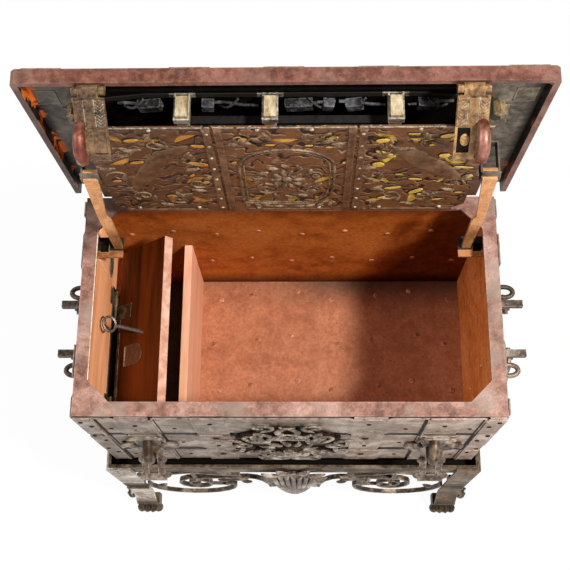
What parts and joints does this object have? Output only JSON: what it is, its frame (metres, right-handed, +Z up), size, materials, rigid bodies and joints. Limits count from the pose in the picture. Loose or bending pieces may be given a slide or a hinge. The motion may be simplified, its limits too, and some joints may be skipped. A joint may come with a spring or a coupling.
{
  "type": "war chest on stand",
  "caption": "Iron bound war chest with a lock covering the inside of its propped lid, hasps, drop handles and an inner till, on a wrought stand with scroll work and paw feet",
  "frame": {"origin": "On the floor under the middle of the stand", "axes": "+X to the right as seen from the front, +Y to the back, +Z up; the front faces -Y"},
  "size_m": [0.86, 0.5194, 1.3009],
  "materials": {
    "stand_iron": "worn dark iron with pale edges",
    "strap_iron": "worn grey iron with brown paint left in the hollows",
    "chest_sheet": "matt red lead paint, scratched",
    "rim_iron": "red brown paint, worn pale",
    "lock_iron": "brown iron, rubbed bright on the relief",
    "lock_backing_paint": "ochre paint",
    "bright_steel": "dull bright steel",
    "hasp_iron": "tan paint worn to metal",
    "stay_iron": "light tan paint, rubbed",
    "till_wood": "bare light wood, orange stained",
    "till_lid_wood": "dark stained wood"
  },
  "bodies": {
    "stand_and_chest": {"stand_frame": "stand_iron", "leg_fl": "stand_iron", "leg_fr": "stand_iron", "leg_bl": "stand_iron", "leg_br": "stand_iron", "apron_front": "stand_iron", "apron_back": "stand_iron", "apron_left": "stand_iron", "apron_right": "stand_iron", "apron_shield": "stand_iron", "chest_floor": "chest_sheet", "wall_front": "chest_sheet", "wall_back": "chest_sheet", "wall_left": "chest_sheet", "wall_right": "chest_sheet", "rim_frame": "rim_iron", "bands_front": "strap_iron", "bands_back": "strap_iron", "bands_left": "strap_iron", "bands_right": "strap_iron", "escutcheon": "lock_iron", "staple_left": "strap_iron", "staple_right": "strap_iron", "handle_plate_left": "strap_iron", "handle_plate_right": "strap_iron", "hinge_leaf_chest_left": "strap_iron", "hinge_leaf_chest_right": "strap_iron", "stay_seat_left": "rim_iron", "stay_seat_right": "rim_iron", "till_board": "till_wood", "till_wall": "till_wood", "till_hinge_board": "strap_iron"},
    "lid": {"lid_plate": "rim_iron", "lid_bands": "strap_iron", "hinge_leaf_lid_left": "strap_iron", "hinge_leaf_lid_right": "strap_iron", "lock_frame": "lock_iron", "lock_backing": "lock_backing_paint", "cover_left": "lock_iron", "cover_centre": "lock_iron", "cover_right": "lock_iron", "lock_case": "lock_iron", "bolt_guides": "bright_steel", "stay_bracket_left": "bright_steel", "stay_bracket_right": "bright_steel", "hasp_hinge_left": "rim_iron", "hasp_hinge_right": "rim_iron"},
    "bolt_set": {"bolts_front": "bright_steel"},
    "corner_bolt_l": {"bolt_corner_left": "bright_steel"},
    "corner_bolt_r": {"bolt_corner_right": "bright_steel"},
    "hasp_l": {"hasp_left": "hasp_iron"},
    "hasp_r": {"hasp_right": "hasp_iron"},
    "stay_l": {"stay_left": "stay_iron"},
    "stay_r": {"stay_right": "stay_iron"},
    "bail_l": {"handle_left": "stand_iron"},
    "bail_r": {"handle_right": "stand_iron"},
    "till": {"till_lid": "till_lid_wood", "till_hinge_lid": "strap_iron", "till_lock_plate": "lock_iron"},
    "key": {"till_key": "bright_steel"}
  },
  "joints": [
    {"name": "lid_hinge", "type": "hinge", "parent": "stand_and_chest", "child": "lid", "pos_m": [0, 0.216, 0.87], "axis": [1, 0, 0], "range_deg": [0, 87.1]},
    {"name": "stay_l_pivot", "type": "hinge", "parent": "lid", "child": "stay_l", "pos_m": [-0.3125, 0.15426, 1.05111], "axis": [-1, 0, 0], "range_deg": [0, 165.4]},
    {"name": "stay_r_pivot", "type": "hinge", "parent": "lid", "child": "stay_r", "pos_m": [0.319, 0.15426, 1.05111], "axis": [-1, 0, 0], "range_deg": [0, 165.4]},
    {"name": "hasp_l_hinge", "type": "hinge", "parent": "lid", "child": "hasp_l", "pos_m": [-0.268, 0.16853, 1.29314], "axis": [-1, 0, 0], "range_deg": [0, 50.2]},
    {"name": "hasp_r_hinge", "type": "hinge", "parent": "lid", "child": "hasp_r", "pos_m": [0.2585, 0.16853, 1.29314], "axis": [-1, 0, 0], "range_deg": [0, 50.2]},
    {"name": "bolts_throw", "type": "slide", "parent": "lid", "child": "bolt_set", "axis": [0, -0.0506, 0.9987], "range_m": [0, 0.022]},
    {"name": "corner_bolt_l_throw", "type": "slide", "parent": "lid", "child": "corner_bolt_l", "axis": [-0.7071, -0.0358, 0.7062], "range_m": [0, 0.0222]},
    {"name": "corner_bolt_r_throw", "type": "slide", "parent": "lid", "child": "corner_bolt_r", "axis": [0.7071, -0.0358, 0.7062], "range_m": [0, 0.0222]},
    {"name": "bail_l_swing", "type": "hinge", "parent": "stand_and_chest", "child": "bail_l", "pos_m": [-0.4, 0, 0.698], "axis": [0, 1, 0], "range_deg": [0, 95]},
    {"name": "bail_r_swing", "type": "hinge", "parent": "stand_and_chest", "child": "bail_r", "pos_m": [0.4, 0, 0.698], "axis": [0, -1, 0], "range_deg": [0, 95]},
    {"name": "till_lid_hinge", "type": "hinge", "parent": "stand_and_chest", "child": "till", "pos_m": [-0.33745, 0, 0.67085], "axis": [0, 1, 0], "range_deg": [0, 44.5]},
    {"name": "key_turn", "type": "hinge", "parent": "till", "child": "key", "pos_m": [-0.27435, -0.01, 0.72648], "axis": [-0.7009, 0, 0.7133], "range_deg": [0, 90]}
  ],
  "couplings": [
    {"joint": "stay_l_pivot", "follows": "lid_hinge", "ratio": 1.8989},
    {"joint": "stay_r_pivot", "follows": "lid_hinge", "ratio": 1.8989},
    {"joint": "hasp_l_hinge", "follows": "lid_hinge", "ratio": 0.5763},
    {"joint": "hasp_r_hinge", "follows": "lid_hinge", "ratio": 0.5763},
    {"joint": "corner_bolt_l_throw", "follows": "bolts_throw", "ratio": 1},
    {"joint": "corner_bolt_r_throw", "follows": "bolts_throw", "ratio": 1}
  ]
}
